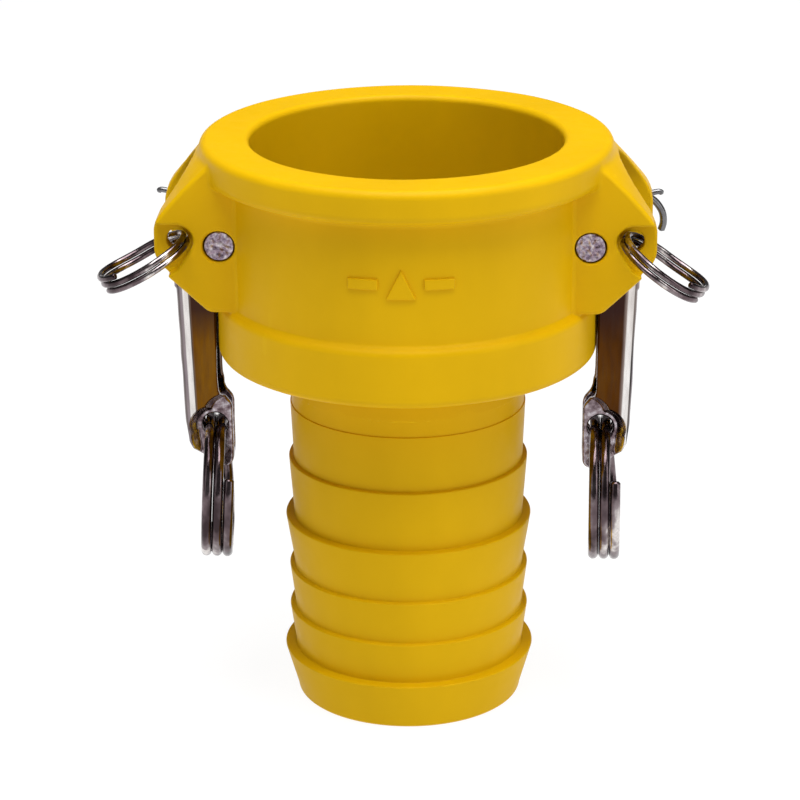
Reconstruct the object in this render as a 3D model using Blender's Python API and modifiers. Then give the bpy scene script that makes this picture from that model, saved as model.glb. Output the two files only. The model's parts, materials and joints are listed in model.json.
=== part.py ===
"""Camlock coupler, nominal 2 inch (DN 50), cup end to hose shank, Blender 4.5.

A moulded glass-filled nylon body with a female cup on top and a barbed hose
shank below. Two cast stainless cam arms turn on pins between pairs of lugs.
Each arm carries a split pull ring, each front lug carries a small split ring,
and each rear lug holds a spread cotter pin. A flat gasket lies in the cup.

Frame: metres, +Z along the coupling's axis with the mouth up, origin on the
axis at the shank's end face. The arms are at -X (left) and +X (right), and
every hinge axis runs along Y. The sizes below are in millimetres.
"""
from math import cos, pi, radians, sin, sqrt

import bmesh
import bpy
from mathutils import Matrix, Vector

MM = 0.001
SIDES = ((-1, "left"), (1, "right"))

# Body of revolution
TOP_Z = 121.4            # top face of the rim
BORE_R = 32.0            # cup bore, for a 63 mm adapter
MOUTH_EDGE = 1.3         # rounding of the mouth
RIM_R = 42.2
RIM_EDGE = 1.75
RIM_LOWER_EDGE = 2.0
RIM_BOTTOM_Z = 114.3
WALL_R = 37.5
WALL_FILLET = 1.8
BAND_R = 39.1            # thicker band round the gasket's seat
BAND_TOP_Z = 88.6
BAND_BOTTOM_Z = 76.0
BAND_EDGE = 1.7
SEAT_Z = 79.5            # floor that the gasket lies on
SEAT_TOP_Z = 86.3
SEAT_R = 33.65
NECK_R = 24.3
NECK_FILLET = 1.0
SHANK_BORE_R = 20.4
SHANK_END_R = 23.7
SHANK_EDGE = 0.9
LEDGE = 0.25             # height and half the width of a barb's ledge
# Barbs from the top down: height of the ledge, root radius above it, crest
BARBS = ((64.8, 24.3, 24.55), (52.8, 24.05, 25.0), (39.9, 24.1, 25.8),
         (28.6, 24.15, 25.15), (19.35, 24.1, 25.2), (10.4, 24.1, 26.3))
BODY_STEPS = 60

# Ears: each is a pair of lugs with a slot between them
EAR_HALF_WIDTH = 16.4
EAR_INNER_X = 33.5
EAR_OUTER_X = 50.7
EAR_CHAMFER = 0.8
EAR_TOP_Z = 119.4
EAR_BOTTOM_Z = 88.4
EAR_LOWER_X = 39.6       # the lower slope starts here
EAR_SLOPE_R = 42.0       # the upper slope starts on this circle
EAR_FACE_Z = (99.2, 107.0)   # low and high ends of the straight outer face
EAR_BULGE = 0.7          # the upper slope is a little convex
EAR_STATIONS = 8
SLOT_HALF = 9.9
SLOT_ARCH_Z = 107.9      # the slot ends in a round arch above this height
WINDOW_Z = (91.0, 112.2)     # opening through the cup wall for the cam
WINDOW_INNER_X = 22.0

# Pivots and the small outer holes
PIVOT_X = 37.3
PIVOT_Z = 102.4
PIN_R = 3.0
PIN_CHAMFER = 0.4
PIN_HOLE_R = 3.28
PIN_HALF_LENGTH = 16.0
OUTER_HOLE_X = 45.9
OUTER_HOLE_Z = 103.0
OUTER_HOLE_R = 2.2
NOTCH_FLOOR_Y = 12.9     # the front lug is thinned to this round its hole
NOTCH_R = 3.4

# Cam arms: cast channels, open towards the body
ARM_HALF = 6.5
ARM_WALL = 1.4
HEAD_HALF = 6.6
HEAD_R = 5.0             # round the pivot, on the side that turns to the bore
ARM_BACK_X = 47.3
ARM_INNER_X = 39.2
ARM_TOP_Z = 93.5
HOLLOW_TOP_Z = 88.5
ARM_BORE_R = 3.3
TIP_X = 40.2             # the ring's holes
TIP_Z = 59.6
TIP_HOLE_R = 2.6
DISH_DEPTH = 3.3         # the cheeks are pressed together round the ring's holes
DISH_R = 4.3
PAD_R = 5.2              # outside of the pressed part's wall
CAM_REACH = 10.4         # from the pivot to the nose
CAM_NOSE_R = 5.2

# Split rings: mean radius, wire radius, pitch
PULL_RING = (14.3, 1.07, 2.2)
PULL_RING_TURN = (-115.0, 752.0)     # first and last degrees, 0 is lowest
PULL_RING_JOG = (30.0, 125.0)        # where each turn steps across, and how far
PULL_RING_TILT = {"left": 3.0, "right": 0.0}         # outwards from hanging straight
PULL_RING_YAW = {"left": 3.0, "right": -1.5}         # degrees about the vertical
PULL_RING_REST = 0.15                # how deep it rests in the holes, 0 to 1
SAFETY_RING = (9.3, 0.65, 1.4)
SAFETY_RING_TURN = (-60.0, 696.0)
SAFETY_RING_JOG = (0.0, 80.0)
SAFETY_RING_TILT = {"left": 30.0, "right": 36.0}     # below horizontal at rest
SAFETY_RING_Y = -16.9
RING_STEP = 12.0                     # degrees between points

# Cotter pins
COTTER_HEAD_R = 2.0
COTTER_WIRE_R = 0.75
COTTER_SHANK_R = 1.35
COTTER_GAP = 0.3         # between the head and the lug
COTTER_BEND_Y = 17.6     # the legs are bent apart here, behind the lug
LONG_LEG_TURN = {"left": 70.0, "right": 0.0}         # downwards, about the hole

# Gasket
GASKET_R = (20.65, 33.35)
GASKET_Z = (79.8, 86.0)
GASKET_EDGE = 0.5

# Raised marks on the front of the wall: a triangle between two bars
MARK_RISE = 0.6
MARK_Z = 101.4
MARK_HEIGHT = 6.0
BAR_SIZE = (6.0, 2.2)
BAR_OFFSET = 7.5

YELLOW = (0.80, 0.47, 0.008)
STEEL = (0.52, 0.50, 0.49)
DARK_STEEL = (0.20, 0.20, 0.21)
RUBBER = (0.015, 0.015, 0.016)


def make_collection(name):
    coll = bpy.data.collections.new(name)
    bpy.context.scene.collection.children.link(coll)
    return coll


def make_material(name, colour, roughness, metallic):
    mat = bpy.data.materials.new(name)
    mat.use_nodes = True
    shader = mat.node_tree.nodes["Principled BSDF"]
    shader.inputs["Base Color"].default_value = (*colour, 1.0)
    shader.inputs["Roughness"].default_value = roughness
    shader.inputs["Metallic"].default_value = metallic
    return mat


def add_object(name, data, coll, place=None):
    obj = bpy.data.objects.new(name, data)
    obj.matrix_world = place or Matrix.Identity(4)
    coll.objects.link(obj)
    if coll.name == "cutters":
        obj.hide_render = True
        obj.display_type = 'WIRE'
    return obj


def at(x, y, z, turn=None):
    """A place in millimetres, with a rotation matrix if one is given."""
    place = Matrix.Translation(Vector((x, y, z)) * MM)
    return place @ turn.to_4x4() if turn else place


def curve_to_mesh(obj, coll):
    """Replace a curve object by its mesh, with the caps welded on."""
    evaluated = obj.evaluated_get(bpy.context.evaluated_depsgraph_get())
    mesh = bpy.data.meshes.new_from_object(evaluated)
    name, place = obj.name, obj.matrix_world.copy()
    bpy.data.objects.remove(obj, do_unlink=True)
    mesh.name = name
    bm = bmesh.new()
    bm.from_mesh(mesh)
    bmesh.ops.remove_doubles(bm, verts=bm.verts, dist=1e-6)
    bmesh.ops.recalc_face_normals(bm, faces=bm.faces)
    bm.to_mesh(mesh)
    bm.free()
    return add_object(name, mesh, coll, place)


def add_spline(curve, points, cyclic):
    spline = curve.splines.new('POLY')
    spline.points.add(len(points) - 1)
    for point, place in zip(spline.points, points):
        point.co = (*(Vector(place) * MM), 1.0)
    spline.use_cyclic_u = cyclic


def flat_solid(name, outline, thickness, coll, place):
    """An outline in the object's own XY plane, as thick on both sides of it."""
    curve = bpy.data.curves.new(name, 'CURVE')
    curve.dimensions = '2D'
    curve.fill_mode = 'BOTH'
    curve.extrude = thickness / 2 * MM
    add_spline(curve, [(x, y, 0) for x, y in outline], True)
    obj = add_object(name, curve, coll, place)
    bpy.context.view_layer.update()
    return curve_to_mesh(obj, coll)


def wire(name, points, radius, coll, place):
    """A round wire along a list of points, with flat ends."""
    curve = bpy.data.curves.new(name, 'CURVE')
    curve.dimensions = '3D'
    curve.bevel_depth = radius * MM
    curve.bevel_resolution = 2
    curve.use_fill_caps = True
    add_spline(curve, points, False)
    obj = add_object(name, curve, coll, place)
    bpy.context.view_layer.update()
    return curve_to_mesh(obj, coll)


def cylinder_y(name, radius, length, coll, place, segments=32):
    """A cylinder centred on its place, with its axis along Y."""
    bm = bmesh.new()
    bmesh.ops.create_cone(bm, cap_ends=True, segments=segments, radius1=radius * MM,
                          radius2=radius * MM, depth=length * MM,
                          matrix=Matrix.Rotation(pi / 2, 4, 'X'))
    mesh = bpy.data.meshes.new(name)
    bm.to_mesh(mesh)
    bm.free()
    return add_object(name, mesh, coll, place)


def combine(obj, operand, operation):
    mod = obj.modifiers.new(operand.name, 'BOOLEAN')
    mod.operation = operation
    mod.solver = 'EXACT'
    mod.object = operand


def finish(obj, material):
    """Give the object its material and shade its round faces smooth."""
    obj.data.materials.clear()
    obj.data.materials.append(material)
    obj.data.shade_smooth()
    obj.data.set_sharp_from_angle(angle=radians(35))
    return obj


def arc(centre, radius, start, end, count):
    """Points on an arc, degrees anticlockwise from +X, both ends included."""
    angles = [radians(start + (end - start) * i / (count - 1)) for i in range(count)]
    return [(centre[0] + radius * cos(a), centre[1] + radius * sin(a)) for a in angles]


# Seen from the front: an outline's second number is a height, its thickness is
# along Y. Seen from the side: its first number is Y and its thickness along X.
FRONT_VIEW = Matrix.Rotation(pi / 2, 3, 'X')
SIDE_VIEW = Matrix.Rotation(pi / 2, 3, 'Z') @ FRONT_VIEW


def front_solid(name, outline, y_low, y_high, coll, side=1, pivot=(0, 0)):
    """A solid from an (x, z) outline. It is mirrored to -X if side is -1, and
    its origin is at the pivot (x, z) that the arms turn about."""
    own = [(side * (x - pivot[0]), z - pivot[1]) for x, z in outline]
    place = at(side * pivot[0], (y_low + y_high) / 2, pivot[1], FRONT_VIEW)
    obj = flat_solid(name, own, y_high - y_low, coll, place)
    # turn the mesh instead of the object, and put the origin on Y = 0
    move = at(side * pivot[0], 0, pivot[1])
    obj.data.transform(move.inverted() @ place)
    obj.matrix_world = move
    return obj


def side_solid(name, outline, x_low, x_high, coll):
    """A solid from a (y, z) outline."""
    place = at((x_low + x_high) / 2, 0, 0, SIDE_VIEW)
    return flat_solid(name, outline, abs(x_high - x_low), coll, place)


def revolve(name, profile, coll, steps):
    """Turn a closed (radius, height) profile round the Z axis."""
    count = len(profile)
    mesh = bpy.data.meshes.new(name)
    mesh.from_pydata([(r * MM, 0.0, z * MM) for r, z in profile],
                     [(i, (i + 1) % count) for i in range(count)], [])
    obj = add_object(name, mesh, coll)
    screw = obj.modifiers.new("revolve", 'SCREW')
    screw.angle = 2 * pi
    screw.steps = screw.render_steps = steps
    screw.use_merge_vertices = True
    screw.merge_threshold = 0.00001
    return obj


def body_profile():
    """Closed (radius, height) outline, down the outer side and up the inner."""
    points = arc((RIM_R - RIM_EDGE, TOP_Z - RIM_EDGE), RIM_EDGE, 90, 0, 5)
    points += arc((RIM_R - RIM_LOWER_EDGE, RIM_BOTTOM_Z + RIM_LOWER_EDGE),
                  RIM_LOWER_EDGE, 0, -90, 5)
    points += arc((WALL_R + WALL_FILLET, RIM_BOTTOM_Z - WALL_FILLET), WALL_FILLET, 90, 180, 4)
    points += [(WALL_R, BAND_TOP_Z + 0.5), (WALL_R + 0.4, BAND_TOP_Z)]
    points += arc((BAND_R - BAND_EDGE, BAND_TOP_Z - 0.2 - BAND_EDGE), BAND_EDGE, 70, 0, 4)
    points += arc((BAND_R - BAND_EDGE, BAND_BOTTOM_Z + BAND_EDGE), BAND_EDGE, 0, -90, 4)
    points += arc((NECK_R + NECK_FILLET, BAND_BOTTOM_Z - NECK_FILLET), NECK_FILLET, 90, 180, 3)
    for ledge_z, root_r, crest_r in BARBS:
        points += [(root_r, ledge_z + LEDGE), (crest_r - LEDGE / 2, ledge_z),
                   (crest_r, ledge_z - LEDGE)]
    points += arc((SHANK_END_R - SHANK_EDGE, SHANK_EDGE), SHANK_EDGE, 10, -90, 4)
    points += [(SHANK_BORE_R + 0.6, 0.0), (SHANK_BORE_R, 0.6), (SHANK_BORE_R, SEAT_Z),
               (SEAT_R, SEAT_Z), (SEAT_R, SEAT_TOP_Z), (BORE_R, SEAT_TOP_Z + 0.8)]
    points += arc((BORE_R + MOUTH_EDGE, TOP_Z - MOUTH_EDGE), MOUTH_EDGE, 180, 90, 4)
    return points


def ear_section(y):
    """(x, z) outline of an ear at one station across its width."""
    top_x = sqrt(EAR_SLOPE_R ** 2 - y * y)
    low_z, high_z = EAR_FACE_Z
    slope_x, slope_z = EAR_OUTER_X - EAR_CHAMFER, high_z + EAR_CHAMFER
    bulge = EAR_BULGE * (1 - (y / EAR_HALF_WIDTH) ** 2)
    middle = ((top_x + slope_x) / 2 + bulge, (EAR_TOP_Z + slope_z) / 2 + bulge)
    return [(EAR_INNER_X, EAR_BOTTOM_Z), (EAR_LOWER_X, EAR_BOTTOM_Z),
            (EAR_OUTER_X - 1.4, low_z - 1.8), (EAR_OUTER_X, low_z), (EAR_OUTER_X, high_z),
            (slope_x, slope_z), middle, (top_x, EAR_TOP_Z), (EAR_INNER_X, EAR_TOP_Z)]


def ear_block(side, name, coll):
    """Loft across the ear's width: the top slope starts on the round rim and
    ends on a straight edge, so its sections differ."""
    bm = bmesh.new()
    loops = []
    for i in range(EAR_STATIONS + 1):
        y = EAR_HALF_WIDTH * (2 * i / EAR_STATIONS - 1)
        loops.append([bm.verts.new(Vector((side * x, y, z)) * MM) for x, z in ear_section(y)])
    for near, far in zip(loops, loops[1:]):
        for i, _ in enumerate(near):
            bm.faces.new((near[i - 1], near[i], far[i], far[i - 1]))
    bm.faces.new(loops[0])
    bm.faces.new(loops[-1])
    bmesh.ops.recalc_face_normals(bm, faces=bm.faces)
    mesh = bpy.data.meshes.new(name)
    bm.to_mesh(mesh)
    bm.free()
    return add_object(name, mesh, coll)


def notch_outline():
    """Recess in the front lug round the outer hole, open to the ear's end."""
    x, z = OUTER_HOLE_X, OUTER_HOLE_Z
    beyond = EAR_OUTER_X + 4
    points = [(beyond, z + 0.5 + NOTCH_R), (beyond, z - 8.0), (x + 3.4, z - 8.0), (x - 0.3, z - 5.4)]
    return points + arc((x, z + 0.5), NOTCH_R, 215, 90, 7)


def mark_outlines():
    half = MARK_HEIGHT / 2
    length, height = BAR_SIZE
    outlines = [[(-half, MARK_Z - half), (half, MARK_Z - half), (0.0, MARK_Z + half)]]
    for middle in (-BAR_OFFSET, BAR_OFFSET):
        outlines.append([(middle + dx * length / 2, MARK_Z + dz * height / 2)
                         for dx, dz in ((-1, -1), (1, -1), (1, 1), (-1, 1))])
    return outlines


def build_body(coll, cutters, material):
    """Revolved body, with marks and ears joined on, then slots and holes cut."""
    body = revolve("coupler_body", body_profile(), coll, BODY_STEPS)
    for i, outline in enumerate(mark_outlines()):
        mark = front_solid(f"mark_{i}", outline, -45, -WALL_R + 3, cutters)
        raised = [(WALL_R + MARK_RISE, MARK_Z + 8), (WALL_R + MARK_RISE, MARK_Z - 8),
                  (WALL_R - 2, MARK_Z - 8), (WALL_R - 2, MARK_Z + 8)]
        combine(mark, revolve(f"mark_limit_{i}", raised, cutters, BODY_STEPS), 'INTERSECT')
        combine(body, mark, 'UNION')
    arch = [(-SLOT_HALF, EAR_BOTTOM_Z - 5)] + arc((0, SLOT_ARCH_Z), SLOT_HALF, 180, 0, 17)
    arch += [(SLOT_HALF, EAR_BOTTOM_Z - 5)]
    window = [(-SLOT_HALF, WINDOW_Z[0]), (SLOT_HALF, WINDOW_Z[0]),
              (SLOT_HALF, WINDOW_Z[1]), (-SLOT_HALF, WINDOW_Z[1])]
    for side, hand in SIDES:
        ear = ear_block(side, f"ear_{hand}", cutters)
        slot = side_solid(f"slot_{hand}", arch, side * (EAR_INNER_X + 1.5), side * 60, cutters)
        combine(ear, slot, 'DIFFERENCE')
        combine(body, ear, 'UNION')
        cuts = [side_solid(f"window_{hand}", window, side * WINDOW_INNER_X,
                           side * (PIVOT_X + 3), cutters),
                cylinder_y(f"pin_hole_{hand}", PIN_HOLE_R, 40, cutters,
                           at(side * PIVOT_X, 0, PIVOT_Z)),
                front_solid(f"notch_{hand}", notch_outline(), -20, -NOTCH_FLOOR_Y,
                            cutters, side),
                cylinder_y(f"outer_hole_{hand}", OUTER_HOLE_R, 40, cutters,
                           at(side * OUTER_HOLE_X, 0, OUTER_HOLE_Z), 24)]
        for cut in cuts:
            combine(body, cut, 'DIFFERENCE')
    return finish(body, material)


def build_gasket(coll, material):
    inner, outer = GASKET_R
    low, high = GASKET_Z
    edge = GASKET_EDGE
    profile = arc((outer - edge, high - edge), edge, 90, 0, 3)
    profile += arc((outer - edge, low + edge), edge, 0, -90, 3)
    profile += arc((inner + edge, low + edge), edge, 270, 180, 3)
    profile += arc((inner + edge, high - edge), edge, 180, 90, 3)
    return finish(revolve("gasket", profile, coll, 48), material)


def handle_outline():
    """Side view of the handle, with its rounded tip."""
    x, z = ARM_BACK_X, TIP_Z
    back = [(x, ARM_TOP_Z), (x - 0.15, 86.0), (x - 0.8, 70.0), (x - 1.2, z + 1.4),
            (x - 1.75, z - 3.1), (x - 2.6, z - 4.9), (x - 3.9, z - 6.3), (x - 5.5, z - 7.5),
            (x - 7.6, z - 8.6)]
    tip = arc((TIP_X - 2.0, z - 7.5), 1.7, 270, 180, 4)
    inner = arc((TIP_X - 1.2, z + 3.6), 2.5, 180, 135, 4)
    inner += [(ARM_INNER_X - 0.6, z + 7.0), (ARM_INNER_X - 0.1, z + 8.6),
              (ARM_INNER_X, z + 10.5), (ARM_INNER_X, ARM_TOP_Z)]
    return back + tip + inner


def hollow_outline():
    """Side view of the channel inside the handle, open towards the body."""
    x, z = ARM_BACK_X - ARM_WALL, TIP_Z
    open_x = ARM_INNER_X - 9
    return [(open_x, HOLLOW_TOP_Z), (x, HOLLOW_TOP_Z), (x - 0.15, 86.0), (x - 0.8, 70.0),
            (x - 1.2, z + 1.4), (x - 1.75, z - 3.1), (x - 2.8, z - 4.6), (x - 4.8, z - 6.0),
            (open_x, z - 6.9)]


def head_outline():
    """Side view of the cam head: a nose towards the bore, low over the pivot
    so that it clears the bore when the arm is open, and a back that runs
    down into the handle."""
    x, z = PIVOT_X, PIVOT_Z
    points = arc((x - CAM_REACH + CAM_NOSE_R, z - 1.0), CAM_NOSE_R, 245, 105, 9)
    points += arc((x, z), HEAD_R, 100, 45, 4)
    return points + [(x + 6.6, z + 0.8), (x + 8.4, z - 3.0), (x + 9.6, z - 6.2),
                     (ARM_BACK_X, z - 9.5), (ARM_BACK_X, z - 11.5), (x + 2.2, z - 11.5),
                     (x + 1.6, z - 10.2)]


def build_arm(side, hand, coll, cutters, material):
    """One arm with its origin on its pivot's axis."""
    name = f"cam_arm_{hand}"
    pivot = (PIVOT_X, PIVOT_Z)
    hollow_half = ARM_HALF - ARM_WALL
    arm = front_solid(name, handle_outline(), -ARM_HALF, ARM_HALF, coll, side, pivot)
    hollow = front_solid(f"hollow_{hand}", hollow_outline(), -hollow_half, hollow_half,
                         cutters, side, pivot)
    head = front_solid(f"head_{hand}", head_outline(), -HEAD_HALF, HEAD_HALF,
                       cutters, side, pivot)
    combine(arm, hollow, 'DIFFERENCE')
    combine(arm, head, 'UNION')
    pad = arc((TIP_X, TIP_Z), PAD_R, 110, -30, 9)
    pad += [(TIP_X + dx, TIP_Z + dz) for dx, dz in ((2.6, -6.0), (0.5, -7.4), (-2.4, -8.4),
                                                    (-3.5, -6.6), (-3.5, 3.2))]
    dish = arc((TIP_X, TIP_Z), DISH_R, 150, -30, 11)
    dish += [(TIP_X + dx, TIP_Z + dz) for dx, dz in ((1.9, -7.0), (-0.5, -13), (-6.0, -13),
                                                     (-6.0, 2.2))]
    for sign, end in ((-1, "front"), (1, "rear")):
        inner = sorted((sign * (hollow_half - DISH_DEPTH), sign * (hollow_half + 0.4)))
        outer = sorted((sign * (ARM_HALF - DISH_DEPTH), sign * (ARM_HALF + 2)))
        combine(arm, front_solid(f"pad_{end}_{hand}", pad, *inner, cutters, side, pivot), 'UNION')
        combine(arm, front_solid(f"dish_{end}_{hand}", dish, *outer, cutters, side, pivot),
                'DIFFERENCE')
    for label, radius, x, z in (("bore", ARM_BORE_R, PIVOT_X, PIVOT_Z),
                                ("ring_hole", TIP_HOLE_R, TIP_X, TIP_Z)):
        hole = cylinder_y(f"{label}_{hand}", radius, 40, cutters, at(side * x, 0, z), 28)
        combine(arm, hole, 'DIFFERENCE')
    return finish(arm, material)


def build_pin(side, hand, coll, material):
    """Pivot pin with chamfered ends, a little short of the lugs' faces."""
    pin = cylinder_y(f"pivot_pin_{hand}", PIN_R, 2 * PIN_HALF_LENGTH, coll,
                     at(side * PIVOT_X, 0, PIVOT_Z), 28)
    bevel = pin.modifiers.new("chamfer", 'BEVEL')
    bevel.width = PIN_CHAMFER * MM
    bevel.segments = 1
    bevel.limit_method = 'ANGLE'
    return finish(pin, material)


def smoothstep(t):
    t = min(max(t, 0.0), 1.0)
    return t * t * (3 - 2 * t)


def split_ring_path(size, turn, jog):
    """Centre line of a split ring in the YZ plane, 0 degrees at its lowest
    point. The turns lie side by side along X, and each steps across by one
    pitch at the same place on the ring. The two full turns are centred on
    X = 0 and the spare end lies beside them."""
    mean_r, _, pitch = size
    path = []
    for i in range(int((turn[1] - turn[0]) / RING_STEP) + 1):
        angle = turn[0] + RING_STEP * i
        lane = sum(smoothstep((angle - jog[0] - 360.0 * k) / jog[1]) for k in range(3))
        a = radians(angle)
        path.append((pitch * (1.5 - lane), mean_r * sin(a), -mean_r * cos(a)))
    return path


def build_pull_ring(side, hand, coll, material, arm):
    """Split ring that hangs in both cheeks of an arm, with its origin on the
    holes' axis."""
    mean_r, wire_r, _ = PULL_RING
    cheek_y = ARM_HALF - ARM_WALL / 2 - DISH_DEPTH
    drop = sqrt(mean_r ** 2 - cheek_y ** 2) + PULL_RING_REST * (TIP_HOLE_R - wire_r)
    tilt = Matrix.Rotation(radians(-side * PULL_RING_TILT[hand]), 3, 'Y')
    turn = Matrix.Rotation(radians(PULL_RING_YAW[hand]), 3, 'Z') @ tilt
    path = [turn @ Vector((x, y, z - drop))
            for x, y, z in split_ring_path(PULL_RING, PULL_RING_TURN, PULL_RING_JOG)]
    ring = wire(f"pull_ring_{hand}", path, wire_r, coll, at(side * TIP_X, 0, TIP_Z))
    ring.parent = arm
    ring.matrix_parent_inverse = arm.matrix_world.inverted()
    return finish(ring, material)


def build_safety_ring(side, hand, coll, material):
    """Small split ring through the front lug's outer hole and round the lug's
    end, sloping outwards and down. Its origin is on the hole's axis."""
    mean_r, wire_r, _ = SAFETY_RING
    lug_middle_y = -(NOTCH_FLOOR_Y + SLOT_HALF) / 2
    reach = sqrt(mean_r ** 2 - (lug_middle_y - SAFETY_RING_Y) ** 2) - 0.37
    tilt = Matrix.Rotation(radians(SAFETY_RING_TILT[hand]), 3, 'Y')
    path = []
    for across, y, z in split_ring_path(SAFETY_RING, SAFETY_RING_TURN, SAFETY_RING_JOG):
        x, _, z = tilt @ Vector((reach - z, 0, across))
        path.append((side * x, y + SAFETY_RING_Y, z))
    ring = wire(f"safety_ring_{hand}", path, wire_r, coll,
                at(side * OUTER_HOLE_X, 0, OUTER_HOLE_Z))
    return finish(ring, material)


def build_cotter(side, hand, coll, cutters, material):
    """Cotter pin in the rear lug: a flattened head on the slot side, a shank
    through the hole and two legs bent apart behind the lug."""
    head_y = SLOT_HALF - COTTER_WIRE_R - COTTER_GAP
    bend = COTTER_BEND_Y
    place = at(side * OUTER_HOLE_X, 0, OUTER_HOLE_Z)
    middle = at(side * OUTER_HOLE_X, (head_y + bend + 0.6) / 2, OUTER_HOLE_Z)
    cotter = cylinder_y(f"cotter_pin_{hand}", COTTER_SHANK_R, bend + 0.6 - head_y, coll,
                        middle, 16)
    cotter.data.transform(place.inverted() @ middle)
    cotter.matrix_world = place
    head = [(COTTER_HEAD_R * cos(a) + 0.9, head_y, COTTER_HEAD_R * sin(a))
            for a in (radians(20 + 21 * i) for i in range(17))]
    short_leg = [(0.0, bend, 0.0), (2.0, bend + 0.1, 0.6), (4.6, bend + 0.2, 1.2),
                 (6.4, bend + 0.3, 1.5), (7.1, bend + 0.4, 1.0)]
    long_leg = [(0.0, bend, -0.3), (2.6, bend + 0.3, 0.7), (5.2, bend + 0.6, -0.4),
                (7.0, bend + 0.8, -2.8), (7.4, bend + 0.9, -5.2), (6.9, bend + 0.9, -7.2)]
    turn = Matrix.Rotation(radians(LONG_LEG_TURN[hand]), 3, 'Y')
    long_leg = [turn @ Vector(point) for point in long_leg]
    for label, path, radius in (("head", head, COTTER_WIRE_R), ("short_leg", short_leg, 0.6),
                                ("long_leg", long_leg, 1.0)):
        mirrored = [(side * x, y, z) for x, y, z in path]
        combine(cotter, wire(f"{label}_{hand}", mirrored, radius, cutters, place), 'UNION')
    return finish(cotter, material)


def main():
    for obj in list(bpy.data.objects):
        bpy.data.objects.remove(obj, do_unlink=True)
    coll = make_collection("camlock_coupling")
    cutters = make_collection("cutters")
    build_body(coll, cutters, make_material("moulded_nylon", YELLOW, 0.42, 0.0))
    build_gasket(coll, make_material("gasket_rubber", RUBBER, 0.6, 0.0))
    for side, hand in SIDES:
        cast = make_material(f"cast_steel_{hand}", STEEL, 0.25, 1.0)
        pin_steel = make_material(f"pin_steel_{hand}", STEEL, 0.45, 1.0)
        pull_steel = make_material(f"pull_ring_steel_{hand}", STEEL, 0.2, 1.0)
        safety_steel = make_material(f"safety_ring_steel_{hand}", STEEL, 0.22, 1.0)
        cotter_steel = make_material(f"cotter_steel_{hand}", DARK_STEEL, 0.35, 1.0)
        arm = build_arm(side, hand, coll, cutters, cast)
        build_pin(side, hand, coll, pin_steel)
        build_pull_ring(side, hand, coll, pull_steel, arm)
        build_safety_ring(side, hand, coll, safety_steel)
        build_cotter(side, hand, coll, cutters, cotter_steel)


main()
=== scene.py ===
"""Looks of the camlock coupling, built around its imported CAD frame.

The moulded body's head and the cast arms are made as distance fields, so that
every edge and every corner between walls is really rounded, and are meshed
with surface nets. The shank and the gasket are turned, and the wires swept.
Sizes are in millimetres until a mesh is made.
"""
import json
from math import cos, pi, radians, sin, sqrt

import bpy
import numpy as np
from mathutils import Matrix, Vector


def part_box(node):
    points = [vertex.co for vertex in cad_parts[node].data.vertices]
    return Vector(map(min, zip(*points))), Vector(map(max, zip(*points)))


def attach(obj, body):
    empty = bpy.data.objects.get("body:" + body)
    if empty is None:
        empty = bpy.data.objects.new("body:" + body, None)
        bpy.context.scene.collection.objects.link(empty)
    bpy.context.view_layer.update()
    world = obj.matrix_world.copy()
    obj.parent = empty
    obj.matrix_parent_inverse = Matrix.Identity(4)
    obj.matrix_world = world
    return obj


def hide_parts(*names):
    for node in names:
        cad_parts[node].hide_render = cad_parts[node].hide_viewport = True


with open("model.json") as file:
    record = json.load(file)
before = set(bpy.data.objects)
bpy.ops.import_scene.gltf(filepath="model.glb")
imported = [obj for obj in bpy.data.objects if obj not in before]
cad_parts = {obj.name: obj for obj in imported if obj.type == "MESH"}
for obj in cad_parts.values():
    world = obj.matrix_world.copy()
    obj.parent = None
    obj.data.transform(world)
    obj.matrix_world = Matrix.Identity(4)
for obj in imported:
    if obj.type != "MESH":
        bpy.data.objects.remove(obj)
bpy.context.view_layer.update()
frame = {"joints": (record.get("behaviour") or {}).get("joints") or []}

MM = 0.001
SIDES = ((-1, "left"), (1, "right"))
joints = {joint["name"]: joint for joint in frame["joints"]}


def box_mm(node):
    low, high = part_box(node)
    return np.array(low) / MM, np.array(high) / MM


def hinge_mm(name):
    return np.array(joints[name]["pos_m"], float) / MM


# Places that come from the frame
BODY_LOW, BODY_HIGH = box_mm("coupler_body")
TOP_Z = BODY_HIGH[2]
RIM_R = BODY_HIGH[1]
EAR_OUTER_X = BODY_HIGH[0]
PIVOT_X, _, PIVOT_Z = hinge_mm("arm_right_hinge")
TIP_X, _, TIP_Z = hinge_mm("pull_ring_right_hinge")
HOLE_X, _, HOLE_Z = hinge_mm("safety_ring_right_hinge")
_, ARM_HIGH = box_mm("cam_arm_right")
ARM_BACK_X = ARM_HIGH[0]
HEAD_HALF = ARM_HIGH[1]

# Body of revolution
BORE_R = 32.0
MOUTH_EDGE = 1.3
RIM_EDGE = 1.75
RIM_LOWER_EDGE = 2.0
RIM_BOTTOM_Z = TOP_Z - 7.1
WALL_R = 37.5
WALL_FILLET = 1.8
BAND_R = 39.1
BAND_TOP_Z = 88.6
BAND_BOTTOM_Z = 76.0
BAND_EDGE = 1.7
SEAT_Z = 79.5
SEAT_TOP_Z = 86.3
SEAT_R = 33.65
NECK_R = 24.3
NECK_FILLET = 1.0
SHANK_BORE_R = 20.4
SHANK_END_R = 23.7
SHANK_EDGE = 0.9
# Barbs from the top down: height of the ledge, root radius above it, crest
BARBS = ((64.8, 24.3, 24.55), (52.8, 24.05, 25.0), (39.9, 24.1, 25.8),
         (28.6, 24.15, 25.15), (19.35, 24.1, 25.2), (10.4, 24.1, 26.3))
HEAD_BOTTOM_Z = 68.0     # the head's mesh ends here
SHANK_TOP_Z = 70.0       # and the shank's starts here, so they overlap
UNEVEN_HEAD = 0.03       # how far the moulded surface wanders

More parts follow.
